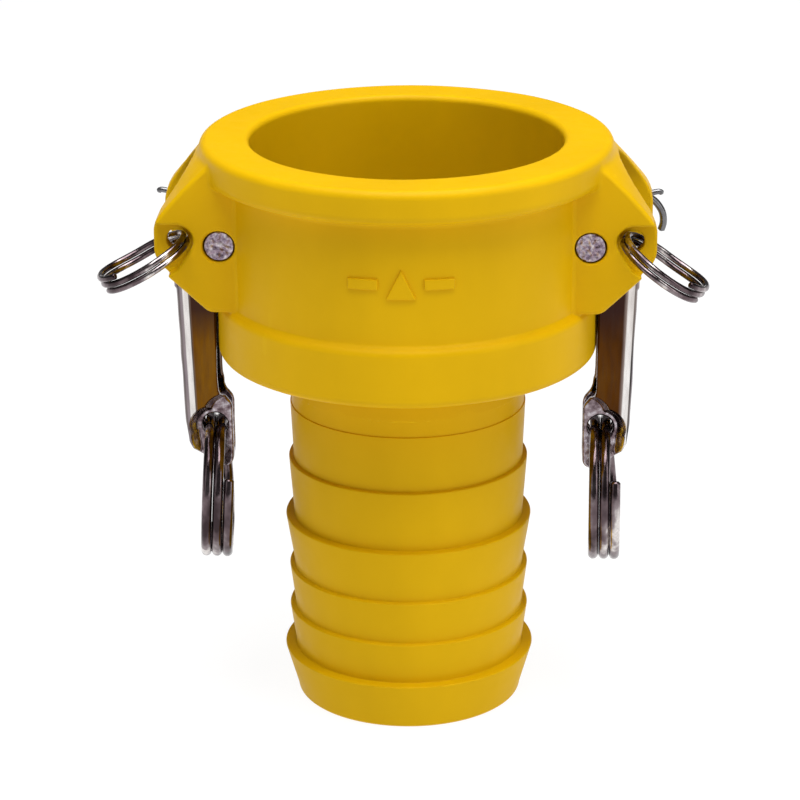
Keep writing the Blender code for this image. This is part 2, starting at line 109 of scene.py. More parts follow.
# Ears
EAR_HALF_WIDTH = 16.4
EAR_INNER_X = 33.0
EAR_TOP_Z = 119.4
EAR_BOTTOM_Z = 88.4
EAR_LOWER_X = 39.6
EAR_SLOPE_R = 42.0
EAR_SLOPE_X = 49.9
EAR_SLOPE_Z = 107.8
EAR_BULGE = 0.5          # the upper slope is a little convex
EAR_FACE_Z = 97.4        # the lower slope ends at this height
EAR_FACE_INSET = 1.4     # and this far in from the outer face
EAR_EDGE = 1.6
EAR_FOOT_EDGE = 0.8
EAR_SIDE_EDGE = 0.9
EAR_FILLET = 0.7         # between the ears and the cup
SLOT_HALF = 9.9
SLOT_ARCH_Z = 107.9
SLOT_INNER_X = 35.0
SLOT_EDGE = 0.5
WINDOW_X = (22.0, PIVOT_X + 3)
WINDOW_Z = (91.0, 112.2)
WINDOW_EDGE = 0.4
PIN_HOLE_R = 3.28
PIN_HOLE_EDGE = 0.3
OUTER_HOLE_R = 2.2
OUTER_HOLE_EDGE = 0.35
NOTCH_FLOOR_Y = 12.9
NOTCH_R = 3.4
NOTCH_FLOOR_EDGE = 0.9
NOTCH_EDGE = 0.45

# Raised marks on the front of the wall
MARK_RISE = 0.6
MARK_Z = 101.4
MARK_HALF = 3.0
BAR_HALF = (3.0, 1.1)
BAR_OFFSET = 7.5

# Gasket
GASKET_INNER_R = 20.65
GASKET_EDGE = 0.6
GROOVE_RADII = (24.5, 28.5)
GROOVE_DEPTH = 0.3

# Arms
ARM_HALF = 6.5
ARM_WALL = 1.4
ARM_INNER_X = 39.2
ARM_TOP_Z = 93.5
HOLLOW_TOP_Z = 88.5
ARM_BORE_R = 3.3
TIP_HOLE_R = 2.6
DISH_DEPTH = 3.3         # the cheeks are pressed together round the ring's holes
PRESSED_R = (3.4, 5.6)   # fully pressed inside the first radius, not outside the second
PRESSED_DOWN = (-1.2, -9.0)  # the pressed part runs from the hole to here
PRESSED_UP = (-3.0, 2.8)     # and to here
UNEVEN_ARM = 0.05
CAM_REACH = 10.4
CAM_NOSE_R = 5.2
HEAD_R = 5.0

# Rings: mean radius, wire radius, pitch
PULL_RING = (14.3, 1.07, 2.2)
PULL_RING_TURN = (-115.0, 752.0)     # first and last degrees, 0 is lowest
PULL_RING_JOG = (30.0, 125.0)        # where each turn steps across, and how far
PULL_RING_TILT = {"left": 3.0, "right": 0.0}     # outwards from hanging straight
PULL_RING_YAW = {"left": 3.0, "right": -1.5}     # degrees about the vertical
PULL_RING_REST = 0.15                # how deep it rests in the holes, 0 to 1
SAFETY_RING = (9.3, 0.65, 1.4)
SAFETY_RING_TURN = (-60.0, 696.0)
SAFETY_RING_JOG = (0.0, 80.0)
SAFETY_RING_TILT = {"left": 30.0, "right": 36.0}     # below horizontal at rest
SAFETY_RING_Y = -16.9
SAFETY_RING_SHIFT = 0.37             # towards the hole's inner side

# Cotter pins
COTTER_HEAD_Y = SLOT_HALF - 1.05
COTTER_HEAD_R = 2.0
COTTER_BEND_Y = 17.6                 # the legs are bent apart here, behind the lug
LONG_LEG_TURN = {"left": 70.0, "right": 0.0}     # downwards, about the hole

# Colours
NYLON = (0.74, 0.432, 0.0012)
BRIGHT = (0.90, 0.87, 0.85)
LILAC = (0.22, 0.18, 0.21)
BLACK = (0.012, 0.010, 0.010)
BROWN = (0.10, 0.055, 0.03)
# The arms' painted reflection by the distance in from the back, round its bend: a painted white highlight
# between painted dark lines
PAINTED_BEND_REFLECTION = {"left": ((0.0, LILAC), (0.35, BLACK), (0.7, LILAC), (1.15, (0.3, 0.26, 0.28)),
                  (1.3, BRIGHT), (2.3, BRIGHT), (2.45, BLACK), (2.7, BROWN)),
         "right": ((0.0, LILAC), (0.25, BLACK), (0.45, BLACK), (0.6, BRIGHT), (1.7, BRIGHT),
                   (1.95, (0.25, 0.19, 0.17)), (2.3, (0.12, 0.08, 0.07)), (2.6, BROWN))}
# The cheeks' painted brown reflection of the yellow body, from its darkest to its palest, and where it
# starts
PAINTED_CHEEK_REFLECTION = {"left": ((0.075, 0.028, 0.002), (0.15, 0.058, 0.003), (0.22, 0.095, 0.006)),
         "right": ((0.040, 0.012, 0.002), (0.085, 0.027, 0.002), (0.13, 0.050, 0.004))}
FLAT_FROM = {"left": 2.5, "right": 2.2}
CHEEK_Y = 6.0            # the flat of a cheek is outside this
PAINTED_SHADE_FROM_Z = 79.0       # painted shade darkens the cheeks above this
BACK_SLOPE = 0.037       # the back leans in towards the tip
HANDLE_DEPTH = 7.5       # from the back to the inner edge
FOOT_SLANT = 1.0         # the top edge of the foot's paler painted reflection falls towards the back
FOOT_EDGE = TIP_Z + 5.2 + FOOT_SLANT * TIP_X


# ---------------------------------------------------------------- fields

def round_max(a, b, r):
    """Both fields at once, with a rounded edge."""
    return np.minimum(np.maximum(a, b), -r) + np.hypot(np.maximum(a + r, 0), np.maximum(b + r, 0))


def round_min(a, b, r):
    """Either field, with a fillet of radius r in the corner between them."""
    return np.maximum(np.minimum(a, b), r) - np.hypot(np.maximum(r - a, 0), np.maximum(r - b, 0))


def cut(a, b, r):
    return round_max(a, -b, r)


def smoothstep(t):
    t = np.clip(t, 0.0, 1.0)
    return t * t * (3 - 2 * t)


def arc(centre, radius, start, end, count):
    """Points on an arc, degrees anticlockwise from +X, both ends included."""
    angles = [radians(start + (end - start) * i / (count - 1)) for i in range(count)]
    return [(centre[0] + radius * cos(a), centre[1] + radius * sin(a)) for a in angles]


def outline_field(points, margin=6.0, cell=0.1):
    """Signed distance to a closed outline, tabulated and then interpolated."""
    pts = np.array(points, float)
    low, high = pts.min(0) - margin, pts.max(0) + margin
    u = np.arange(low[0], high[0] + cell, cell)
    v = np.arange(low[1], high[1] + cell, cell)
    grid_u, grid_v = np.meshgrid(u, v, indexing="ij")
    nearest = np.full(grid_u.shape, 1e9)
    inside = np.zeros(grid_u.shape, bool)
    for (ax, ay), (bx, by) in zip(pts, np.roll(pts, -1, 0)):
        dx, dy = bx - ax, by - ay
        t = np.clip(((grid_u - ax) * dx + (grid_v - ay) * dy) / (dx * dx + dy * dy), 0, 1)
        nearest = np.minimum(nearest, np.hypot(grid_u - ax - t * dx, grid_v - ay - t * dy))
        crosses = (ay > grid_v) != (by > grid_v)
        if dy:
            inside ^= crosses & (grid_u < ax + (grid_v - ay) * dx / dy)
    table = np.where(inside, -nearest, nearest)

    def field(x, y):
        fx = np.clip((x - low[0]) / cell, 0, len(u) - 1.001)
        fy = np.clip((y - low[1]) / cell, 0, len(v) - 1.001)
        i, j = fx.astype(int), fy.astype(int)
        fx, fy = fx - i, fy - j
        return ((table[i, j] * (1 - fy) + table[i, j + 1] * fy) * (1 - fx)
                + (table[i + 1, j] * (1 - fy) + table[i + 1, j + 1] * fy) * fx)
    return field


def waves(seed, size, count=14):
    """A smooth random field of about -1 to 1, with bumps of about that size."""
    rng = np.random.default_rng(seed)
    way = rng.normal(size=(count, 3))
    way /= np.linalg.norm(way, axis=1)[:, None]
    way *= (2 * pi / size * rng.uniform(0.6, 1.5, count))[:, None]
    phase = rng.uniform(0, 2 * pi, count)

    def field(x, y, z):
        total = 0.0
        for (a, b, c), p in zip(way, phase):
            total = total + np.sin(a * x + b * y + c * z + p)
        return total / sqrt(count)
    return field


def surface_net(field, low, high, cell):
    """Mesh the surface where the field is zero: vertices, quads, normals."""
    low = np.array(low, float)
    count = np.ceil((np.array(high, float) - low) / cell).astype(int) + 1
    axes = [low[k] + cell * np.arange(count[k]) for k in range(3)]
    value = field(*np.meshgrid(*axes, indexing="ij"))
    inside = value < 0
    corners = [(i, j, k) for i in (0, 1) for j in (0, 1) for k in (0, 1)]

    def corner(a, c):
        return a[c[0]:a.shape[0] - 1 + c[0], c[1]:a.shape[1] - 1 + c[1], c[2]:a.shape[2] - 1 + c[2]]

    held = sum(corner(inside, c).astype(np.int8) for c in corners)
    cells = np.argwhere((held > 0) & (held < 8))
    place = np.zeros((len(cells), 3))
    hits = np.zeros(len(cells))
    for a in corners:
        for b in corners:
            if sum(b) != sum(a) + 1 or sum(abs(p - q) for p, q in zip(a, b)) != 1:
                continue
            fa = value[tuple((cells + a).T)]
            fb = value[tuple((cells + b).T)]
            hit = (fa < 0) != (fb < 0)
            t = np.where(hit, fa / np.where(hit, fa - fb, 1), 0)
            step = np.array(a) + t[:, None] * (np.array(b) - np.array(a))
            place += step * hit[:, None]
            hits += hit
    verts = low + cell * (cells + place / hits[:, None])
    number = np.full(tuple(np.array(value.shape) - 1), -1)
    number[tuple(cells.T)] = np.arange(len(cells))
    quads = []
    for k in range(3):
        u, v = (k + 1) % 3, (k + 2) % 3
        here = [slice(None)] * 3
        there = [slice(None)] * 3
        here[k], there[k] = slice(0, -1), slice(1, None)
        edges = np.argwhere(inside[tuple(here)] != inside[tuple(there)])
        edges = edges[(edges[:, u] > 0) & (edges[:, v] > 0)
                      & (edges[:, u] < value.shape[u] - 1) & (edges[:, v] < value.shape[v] - 1)]
        leaving = inside[tuple(edges.T)]
        ring = []
        for du, dv in ((0, 0), (1, 0), (1, 1), (0, 1)):
            at = edges.copy()
            at[:, u] -= du
            at[:, v] -= dv
            ring.append(number[tuple(at.T)])
        quad = np.stack(ring, 1)
        quad[~leaving] = quad[~leaving][:, ::-1]
        quads.append(quad)
    quads = np.concatenate(quads)

    def slope(p, reach=0.08):
        out = np.empty_like(p)
        for k in range(3):
            step = np.zeros(3)
            step[k] = reach
            out[:, k] = field(*(p + step).T) - field(*(p - step).T)
        return out / (2 * reach)

    for _ in range(4):
        g = slope(verts)
        move = field(*verts.T) / np.maximum((g * g).sum(1), 0.2)
        verts -= np.clip(move, -cell / 2, cell / 2)[:, None] * g
    g = slope(verts, 0.12)
    return verts, quads, g / np.linalg.norm(g, axis=1)[:, None]


# ---------------------------------------------------------------- meshes

def add_piece(name, verts, faces, material, body, replaced, normals=None):
    """A piece whose vertices are in millimetres in the frame's own axes."""
    mesh = bpy.data.meshes.new(name)
    mesh.from_pydata((np.asarray(verts, float) * MM).tolist(), [],
                     faces.tolist() if hasattr(faces, "tolist") else faces)
    mesh.update()
    mesh.shade_smooth()
    if normals is not None:
        mesh.normals_split_custom_set_from_vertices(normals.tolist())
    obj = bpy.data.objects.new(name, mesh)
    bpy.context.scene.collection.objects.link(obj)
    mesh.materials.append(material)
    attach(obj, body)
    if replaced:
        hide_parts(replaced)
    return obj


def turned(profile, steps):
    """Turn a closed (radius, height) outline, outer side first from the top."""
    count = len(profile)
    verts, faces = [], []
    for s in range(steps):
        a = 2 * pi * s / steps
        for r, z in profile:
            verts.append((r * cos(a), r * sin(a), z))
    for s in range(steps):
        t = (s + 1) % steps
        for i in range(count):
            j = (i + 1) % count
            faces.append((s * count + i, s * count + j, t * count + j, t * count + i))
    return np.array(verts), faces


def sharp_where_bent(obj, angle=40):
    obj.data.set_sharp_from_angle(angle=radians(angle))


def swept(path, radius, sides=18, end_round=0.35):
    """A wire along a path, its ends cut flat with a slightly broken edge."""
    pts = [Vector(p) for p in path]
    ways = [(pts[min(i + 1, len(pts) - 1)] - pts[max(i - 1, 0)]).normalized()
            for i in range(len(pts))]
    inset = radius * end_round
    pts = ([pts[0], pts[0] + ways[0] * inset] + pts[1:-1]
           + [pts[-1] - ways[-1] * inset, pts[-1]])
    ways = [ways[0]] * 2 + ways[1:-1] + [ways[-1]] * 2
    sizes = [1 - end_round] + [1] * (len(pts) - 2) + [1 - end_round]
    side = ways[0].orthogonal().normalized()
    verts, faces = [], []
    for p, way, size in zip(pts, ways, sizes):
        side = (side - way * side.dot(way)).normalized()
        up = way.cross(side)
        for k in range(sides):
            a = 2 * pi * k / sides
            verts.append(p + side * (radius * size * cos(a)) + up * (radius * size * sin(a)))
    for i in range(len(pts) - 1):
        for k in range(sides):
            m = (k + 1) % sides
            faces.append((i * sides + k, i * sides + m, (i + 1) * sides + m, (i + 1) * sides + k))
    faces.append(tuple(range(sides))[::-1])
    faces.append(tuple(range((len(pts) - 1) * sides, len(pts) * sides)))
    return np.array([tuple(v) for v in verts]), faces


# ---------------------------------------------------------------- materials

def new_material(name, colour, roughness, metallic):
    mat = bpy.data.materials.new(name)
    mat.use_nodes = True
    shader = mat.node_tree.nodes["Principled BSDF"]
    shader.inputs["Base Color"].default_value = (*colour, 1)
    shader.inputs["Roughness"].default_value = roughness
    shader.inputs["Metallic"].default_value = metallic
    shader.inputs["IOR"].default_value = 1.5
    return mat, mat.node_tree.nodes, mat.node_tree.links, shader


def noise(nodes, links, scale, detail=4.0, rough=0.55, stretch=None):
    """Noise in object space, where a scale of 1 is a bump to the metre."""
    coords = nodes.new("ShaderNodeTexCoord")
    tex = nodes.new("ShaderNodeTexNoise")
    tex.inputs["Scale"].default_value = scale
    tex.inputs["Detail"].default_value = detail
    tex.inputs["Roughness"].default_value = rough
    source = coords.outputs["Object"]
    if stretch:
        mapping = nodes.new("ShaderNodeMapping")
        mapping.inputs["Scale"].default_value = stretch
        links.new(source, mapping.inputs["Vector"])
        source = mapping.outputs["Vector"]
    links.new(source, tex.inputs["Vector"])
    return tex.outputs["Fac"]


def ramp(nodes, links, source, stops):
    """Colours at places from 0 to 1."""
    node = nodes.new("ShaderNodeValToRGB")
    elements = node.color_ramp.elements
    stops = list(stops)
    while len(elements) < len(stops):
        elements.new(0.5)
    for element, (place, colour) in zip(elements, stops):
        element.position = place
        element.color = (*colour, 1) if len(colour) == 3 else colour
    links.new(source, node.inputs["Fac"])
    return node.outputs["Color"]


def spread(nodes, links, source, low, high, start=0.3, end=0.7):
    """A value that goes from low to high as the source goes from start to end."""
    node = nodes.new("ShaderNodeMapRange")
    node.inputs["From Min"].default_value = start
    node.inputs["From Max"].default_value = end
    node.inputs["To Min"].default_value = low
    node.inputs["To Max"].default_value = high
    links.new(source, node.inputs["Value"])
    return node.outputs["Result"]


def bump(nodes, links, source, distance, strength=1.0, under=None):
    """A bumped normal, of a distance in metres, on top of the one under it."""
    node = nodes.new("ShaderNodeBump")
    node.inputs["Distance"].default_value = distance
    node.inputs["Strength"].default_value = strength
    links.new(source, node.inputs["Height"])
    if under is not None:
        links.new(under, node.inputs["Normal"])
    return node.outputs["Normal"]


def mix(nodes, links, factor, a, b):
    """Colour a where the factor is 0 and b where it is 1."""
    node = nodes.new("ShaderNodeMix")
    node.data_type = "RGBA"
    for socket, value in ((node.inputs[0], factor), (node.inputs[6], a), (node.inputs[7], b)):
        if isinstance(value, (int, float)):
            socket.default_value = value
        elif isinstance(value, tuple):
            socket.default_value = (*value, 1)
        else:
            links.new(value, socket)
    return node.outputs[2]


def nylon_material():
    """Yellow glass-filled nylon: faint flow marks, a fine satin grain, a painted
    highlight that pales the convex edges and painted shade that darkens the corners."""
    mat, nodes, links, shader = new_material("moulded_nylon", NYLON, 0.4, 0.0)
    shader.inputs["Specular IOR Level"].default_value = 0.07
    flow = noise(nodes, links, 55, 3, 0.5, (1, 1, 0.35))
    blotch = noise(nodes, links, 260, 5, 0.6)
    grain = noise(nodes, links, 2600, 3, 0.6)
    colour = ramp(nodes, links, flow, [(0.3, tuple(c * 0.94 for c in NYLON)),
                                       (0.7, tuple(min(1, c * 1.04) for c in NYLON))])
    colour = mix(nodes, links, spread(nodes, links, blotch, 0.0, 0.10), colour,
                 (NYLON[0] * 0.86, NYLON[1] * 0.80, NYLON[2]))
    edges = nodes.new("ShaderNodeNewGeometry").outputs["Pointiness"]
    # painted highlight: convex edges made paler and yellower
    colour = mix(nodes, links, spread(nodes, links, edges, 0.0, 0.35, 0.52, 0.60), colour,
                 (min(1, NYLON[0] * 1.06), NYLON[1] * 1.14, NYLON[2] * 3))
    # painted shade: concave corners made darker
    colour = mix(nodes, links, spread(nodes, links, edges, 0.30, 0.0, 0.40, 0.48), colour,
                 (NYLON[0] * 0.72, NYLON[1] * 0.62, NYLON[2]))
    links.new(colour, shader.inputs["Base Color"])
    links.new(spread(nodes, links, blotch, 0.36, 0.50), shader.inputs["Roughness"])
    normal = bump(nodes, links, grain, 0.00003, 0.5)
    normal = bump(nodes, links, blotch, 0.00010, 0.35, normal)
    links.new(normal, shader.inputs["Normal"])
    return mat


def steel_material(name, colour, rough, tint):
    """Dull steel wire: fine scratches, a cloudy polish and a darker stain."""
    mat, nodes, links, shader = new_material(name, colour, rough, 1.0)
    cloud = noise(nodes, links, 170, 5, 0.6)
    lines = noise(nodes, links, 1500, 4, 0.65, (1, 1, 1))
    base = mix(nodes, links, spread(nodes, links, cloud, 0.0, 0.75, 0.35, 0.68), colour, tint)
    base = mix(nodes, links, spread(nodes, links, lines, 0.0, 0.22), base,
               tuple(c * 0.55 for c in colour))
    links.new(base, shader.inputs["Base Color"])
    links.new(spread(nodes, links, lines, rough - 0.08, rough + 0.14), shader.inputs["Roughness"])
    normal = bump(nodes, links, lines, 0.00003, 0.5)
    normal = bump(nodes, links, cloud, 0.00005, 0.6, normal)
    links.new(normal, shader.inputs["Normal"])
    return mat


def math(nodes, links, operation, a, b):
    node = nodes.new("ShaderNodeMath")
    node.operation = operation
    for socket, value in zip(node.inputs, (a, b)):
        if isinstance(value, (int, float)):
            socket.default_value = value
        else:
            links.new(value, socket)
    return node.outputs[0]


def arm_zones(nodes, links, flat_from):
    """Where a point of an arm's surface lies: how far in from the sloping line
    of the back, its height, and whether it is on the flat of a cheek, which takes a
    painted brown reflection, or on the pressed foot, which takes a paler painted
    reflection. The arms' meshes are in the frame's own axes."""
    coords = nodes.new("ShaderNodeTexCoord")
    parts = nodes.new("ShaderNodeSeparateXYZ")
    links.new(coords.outputs["Object"], parts.inputs[0])
    out = math(nodes, links, "ABSOLUTE", parts.outputs["X"], 0.0)
    across = math(nodes, links, "ABSOLUTE", parts.outputs["Y"], 0.0)
    height = parts.outputs["Z"]
    lean = math(nodes, links, "MULTIPLY", height, BACK_SLOPE)
    back = math(nodes, links, "ADD", lean, (ARM_BACK_X - ARM_TOP_Z * BACK_SLOPE) * MM)
    inset = math(nodes, links, "SUBTRACT", back, out)
    cheek = spread(nodes, links, across, 0.0, 1.0, CHEEK_Y * MM, (CHEEK_Y + 0.4) * MM)
    flat = spread(nodes, links, inset, 0.0, 1.0, flat_from * MM, (flat_from + 0.4) * MM)
    slant = math(nodes, links, "ADD", height, math(nodes, links, "MULTIPLY", out, FOOT_SLANT))
    above = spread(nodes, links, slant, 0.0, 1.0, FOOT_EDGE * MM, (FOOT_EDGE + 0.5) * MM)
    cheek_reflection_mask = math(nodes, links, "MULTIPLY", math(nodes, links, "MULTIPLY", cheek, flat), above)
    pressed = math(nodes, links, "MULTIPLY", math(nodes, links, "SUBTRACT", 1.0, above),
                   spread(nodes, links, inset, 0.0, 1.0, 1.9 * MM, 2.4 * MM))
    return inset, height, cheek_reflection_mask, pressed


def cast_material(hand):
    """Polished castings with painted reflections: a painted white highlight between
    painted dark lines along the bend of the back, a painted brown reflection of the
    yellow body on the flat cheeks, darker with painted shade towards the top, and a
    paler painted reflection on the pressed foot."""
    mat, nodes, links, shader = new_material(f"cast_steel_{hand}", BRIGHT, 0.16, 1.0)
    inset, height, cheek_reflection_mask, pressed = arm_zones(nodes, links, FLAT_FROM[hand])
    cloud = noise(nodes, links, 120, 4, 0.6, (1, 1, 0.25))
    lines = noise(nodes, links, 1500, 4, 0.65, (1, 1, 0.12))
    dents = noise(nodes, links, 700, 4, 0.6)
    # painted brown reflection of the yellow body for the flat cheeks, mottled by the cloud noise
    tint = ramp(nodes, links, cloud, zip((0.30, 0.52, 0.72), PAINTED_CHEEK_REFLECTION[hand]))
    # painted shade: the cheeks made darker above this height, near the ear
    painted_shade_above = spread(nodes, links, height, 0.0, 0.9, PAINTED_SHADE_FROM_Z * MM, (PAINTED_SHADE_FROM_Z + 7) * MM)
    tint = mix(nodes, links, painted_shade_above, tint, (0.030, 0.012, 0.011))
    share = spread(nodes, links, inset, 0.0, 1.0, 0.0, HANDLE_DEPTH * MM)
    # painted reflection round the back's bend: a white highlight between dark lines
    bend = ramp(nodes, links, share, [(place / HANDLE_DEPTH, colour) for place, colour in PAINTED_BEND_REFLECTION[hand]])
    base = mix(nodes, links, spread(nodes, links, cloud, 0.0, 0.6, 0.4, 0.7), bend,
               (0.42, 0.34, 0.30))
    # lay the painted brown reflection on the flat cheeks
    base = mix(nodes, links, cheek_reflection_mask, base, tint)
    # painted reflection: the pressed foot made paler, mottled by the dents
    foot = ramp(nodes, links, dents, [(0.35, (0.10, 0.065, 0.075)), (0.5, (0.27, 0.21, 0.23)),
                                      (0.68, (0.62, 0.58, 0.62))])
    base = mix(nodes, links, pressed, base, foot)
    base = mix(nodes, links, spread(nodes, links, lines, 0.0, 0.25), base, (0.05, 0.035, 0.03))
    links.new(base, shader.inputs["Base Color"])
    links.new(spread(nodes, links, lines, 0.10, 0.30), shader.inputs["Roughness"])
    normal = bump(nodes, links, lines, 0.00003, 0.5)
    normal = bump(nodes, links, dents, 0.00010, 0.5, normal)
    links.new(normal, shader.inputs["Normal"])
    return mat


def wire_material():
    """Spring wire: patches of painted reflection, from dark purple-brown to bright."""
    mat, nodes, links, shader = new_material("ring_steel", (0.3, 0.26, 0.27), 0.12, 1.0)
    # painted reflection: dark and bright patches along the wire
    reflection_patch = noise(nodes, links, 150, 3, 0.55, (1.0, 1.0, 0.55))
    lines = noise(nodes, links, 1800, 4, 0.6)
    base = ramp(nodes, links, reflection_patch, [(0.36, (0.045, 0.030, 0.034)), (0.47, (0.15, 0.11, 0.12)),
                                      (0.55, (0.30, 0.25, 0.26)), (0.62, (0.78, 0.73, 0.71))])
    base = mix(nodes, links, spread(nodes, links, lines, 0.0, 0.3), base, (0.05, 0.04, 0.04))
    links.new(base, shader.inputs["Base Color"])
    links.new(spread(nodes, links, lines, 0.08, 0.26), shader.inputs["Roughness"])
    links.new(bump(nodes, links, lines, 0.00002, 0.5), shader.inputs["Normal"])
    return mat


def sheared_material():
    """Pin stock: drawn sides and coarse torn ends."""
    mat, nodes, links, shader = new_material("pin_steel", (0.66, 0.65, 0.68), 0.35, 1.0)
    torn = noise(nodes, links, 900, 6, 0.7)
    base = ramp(nodes, links, torn, [(0.30, (0.10, 0.065, 0.09)), (0.48, (0.36, 0.28, 0.36)),
                                     (0.70, (0.88, 0.84, 0.88))])
    links.new(base, shader.inputs["Base Color"])
    links.new(spread(nodes, links, torn, 0.22, 0.5), shader.inputs["Roughness"])
    links.new(bump(nodes, links, torn, 0.00025, 0.8), shader.inputs["Normal"])
    return mat


def rubber_material():
    """Black rubber with a faint grey bloom."""
    mat, nodes, links, shader = new_material("gasket_rubber", (0.018, 0.018, 0.019), 0.55, 0.0)
    bloom = noise(nodes, links, 320, 5, 0.6)
    grain = noise(nodes, links, 2200, 3)
    base = ramp(nodes, links, bloom, [(0.35, (0.012, 0.012, 0.013)), (0.7, (0.035, 0.034, 0.034))])
    links.new(base, shader.inputs["Base Color"])
    links.new(spread(nodes, links, bloom, 0.45, 0.7), shader.inputs["Roughness"])
    links.new(bump(nodes, links, grain, 0.00004, 0.6), shader.inputs["Normal"])
    return mat


nylon = nylon_material()
rubber = rubber_material()
cast_steel = {hand: cast_material(hand) for _, hand in SIDES}
pin_steel = sheared_material()
ring_steel = wire_material()
cotter_steel = steel_material("cotter_steel", (0.24, 0.24, 0.25), 0.28, (0.10, 0.09, 0.09))


# ---------------------------------------------------------------- body

def outer_head_profile():
    points = arc((RIM_R - RIM_EDGE, TOP_Z - RIM_EDGE), RIM_EDGE, 90, 0, 12)
    points += arc((RIM_R - RIM_LOWER_EDGE, RIM_BOTTOM_Z + RIM_LOWER_EDGE),
                  RIM_LOWER_EDGE, 0, -90, 12)
    points += arc((WALL_R + WALL_FILLET, RIM_BOTTOM_Z - WALL_FILLET), WALL_FILLET, 90, 180, 10)
    points += arc((WALL_R + 0.5, BAND_TOP_Z + 0.4), 0.5, 180, 250, 5)
    points += arc((BAND_R - BAND_EDGE, BAND_TOP_Z - 0.2 - BAND_EDGE), BAND_EDGE, 70, 0, 8)
    points += arc((BAND_R - BAND_EDGE, BAND_BOTTOM_Z + BAND_EDGE), BAND_EDGE, 0, -90, 10)
    points += arc((NECK_R + NECK_FILLET, BAND_BOTTOM_Z - NECK_FILLET), NECK_FILLET, 90, 180, 8)
    return points


def inner_head_profile():
    points = [(SHANK_BORE_R, SEAT_Z - 0.4), (SHANK_BORE_R + 0.4, SEAT_Z)]
    points += [(SEAT_R, SEAT_Z), (SEAT_R, SEAT_TOP_Z), (BORE_R + 0.3, SEAT_TOP_Z + 0.3),
               (BORE_R, SEAT_TOP_Z + 0.8)]
    return points + arc((BORE_R + MOUTH_EDGE, TOP_Z - MOUTH_EDGE), MOUTH_EDGE, 180, 90, 10)


def notch_outline():
    x, z = HOLE_X, HOLE_Z
    beyond = EAR_OUTER_X + 4
    points = [(beyond, z + 0.5 + NOTCH_R), (beyond, z - 8.0), (x + 3.4, z - 8.0), (x - 0.3, z - 5.4)]
    return points + arc((x, z + 0.5), NOTCH_R, 215, 90, 12)


def head_field():
    """Cup, band and ears in one piece. Both ends are alike, so it is built
    for +X and mirrored by taking the size of x."""
    foot = [(NECK_R, HEAD_BOTTOM_Z), (SHANK_BORE_R, HEAD_BOTTOM_Z)]
    profile = outline_field(outer_head_profile() + foot + inner_head_profile())
    notch = outline_field(notch_outline())
    lower = Vector((EAR_OUTER_X - EAR_FACE_INSET - EAR_LOWER_X, EAR_FACE_Z - EAR_BOTTOM_Z)).normalized()
    uneven = waves(3, 26.0)

    def field(x, y, z):
        ax, ay = np.abs(x), np.abs(y)
        cup = profile(np.hypot(x, y), z)
        top_x = np.sqrt(EAR_SLOPE_R ** 2 - np.minimum(ay, 30) ** 2)
        t = (EAR_TOP_Z - z) / (EAR_TOP_Z - EAR_SLOPE_Z)
        bulge = EAR_BULGE * 4 * np.clip(t * (1 - t), 0, 1)
        slope = (ax - top_x - t * (EAR_SLOPE_X - top_x) - bulge) * 0.85
        ear = round_max(slope, ax - EAR_OUTER_X, EAR_EDGE)
        under = (ax - EAR_LOWER_X) * lower.y - (z - EAR_BOTTOM_Z) * lower.x
        ear = round_max(ear, under, EAR_EDGE)
        ear = round_max(ear, EAR_BOTTOM_Z - z, EAR_FOOT_EDGE)
        ear = np.maximum(ear, EAR_INNER_X - ax)
        ear = round_max(ear, ay - EAR_HALF_WIDTH, EAR_SIDE_EDGE)
        ear = np.maximum(ear, z - EAR_TOP_Z)
        slot = np.where(z > SLOT_ARCH_Z, np.hypot(y, z - SLOT_ARCH_Z), ay) - SLOT_HALF
        ear = cut(ear, np.maximum(slot, SLOT_INNER_X - ax), SLOT_EDGE)
        solid = round_min(cup, ear, EAR_FILLET)
        window = np.maximum(np.maximum(ay - SLOT_HALF, WINDOW_Z[0] - z), z - WINDOW_Z[1])
        window = np.maximum(window, np.maximum(WINDOW_X[0] - ax, ax - WINDOW_X[1]))
        solid = cut(solid, window, WINDOW_EDGE)
        solid = cut(solid, np.hypot(ax - PIVOT_X, z - PIVOT_Z) - PIN_HOLE_R, PIN_HOLE_EDGE)
        hollow = round_max(notch(ax, z), y + NOTCH_FLOOR_Y, NOTCH_FLOOR_EDGE)
        solid = cut(solid, hollow, NOTCH_EDGE)
        solid = cut(solid, np.hypot(ax - HOLE_X, z - HOLE_Z) - OUTER_HOLE_R, OUTER_HOLE_EDGE)
        return solid + UNEVEN_HEAD * uneven(x, y, z)
    return field


def shank_profile():
    """Outer side of the barbed shank from the top down, then its bore."""
    points = [(NECK_R - 0.05, SHANK_TOP_Z)]
    for ledge_z, root_r, crest_r in BARBS:
        rise = crest_r - root_r
        soft = min(0.35, rise * 0.45)
        points += [(root_r, ledge_z + 0.9), (root_r, ledge_z + 0.3)]
        points += arc((root_r + soft * 0.5, ledge_z + soft * 0.5), soft * 0.5, 180, 250, 4)
        points += arc((crest_r - soft, ledge_z - soft), soft, 85, -4, 6)
    points += arc((SHANK_END_R - SHANK_EDGE, SHANK_EDGE), SHANK_EDGE, 10, -90, 10)
    points += arc((SHANK_BORE_R + 0.6, 0.6), 0.6, 270, 180, 6)
    return points + [(SHANK_BORE_R, SHANK_TOP_Z)]


